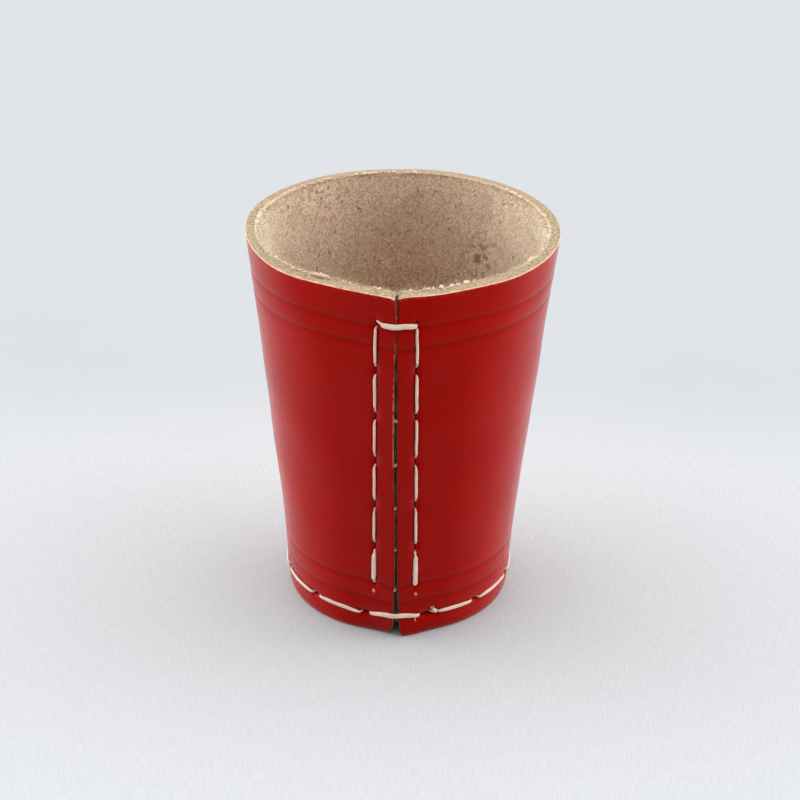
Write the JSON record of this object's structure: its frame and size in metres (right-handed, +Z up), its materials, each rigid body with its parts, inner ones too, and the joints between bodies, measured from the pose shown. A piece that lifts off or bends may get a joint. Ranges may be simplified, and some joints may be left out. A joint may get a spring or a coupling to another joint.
{
  "type": "dice cup",
  "caption": "Tapered dice cup of rolled leather, butt stitched up the front, with a pressed leather base stitched into its foot.",
  "frame": {"origin": "on the table, under the middle of the box round the whole cup", "axes": "+Z up out of the mouth, the stitched seam in front at -Y, +X to its right"},
  "size_m": [0.075, 0.0796, 0.1],
  "materials": {
    "red_leather": "smooth satin grain outside, raw beige suede inside",
    "base_leather": "vegetable-tanned, flesh side up inside the cup",
    "thread": "waxed flat linen thread"
  },
  "bodies": {
    "root": {"cup_wall": "red_leather", "cup_base": "base_leather", "seam_thread": "thread", "base_thread": "thread"}
  },
  "joints": []
}
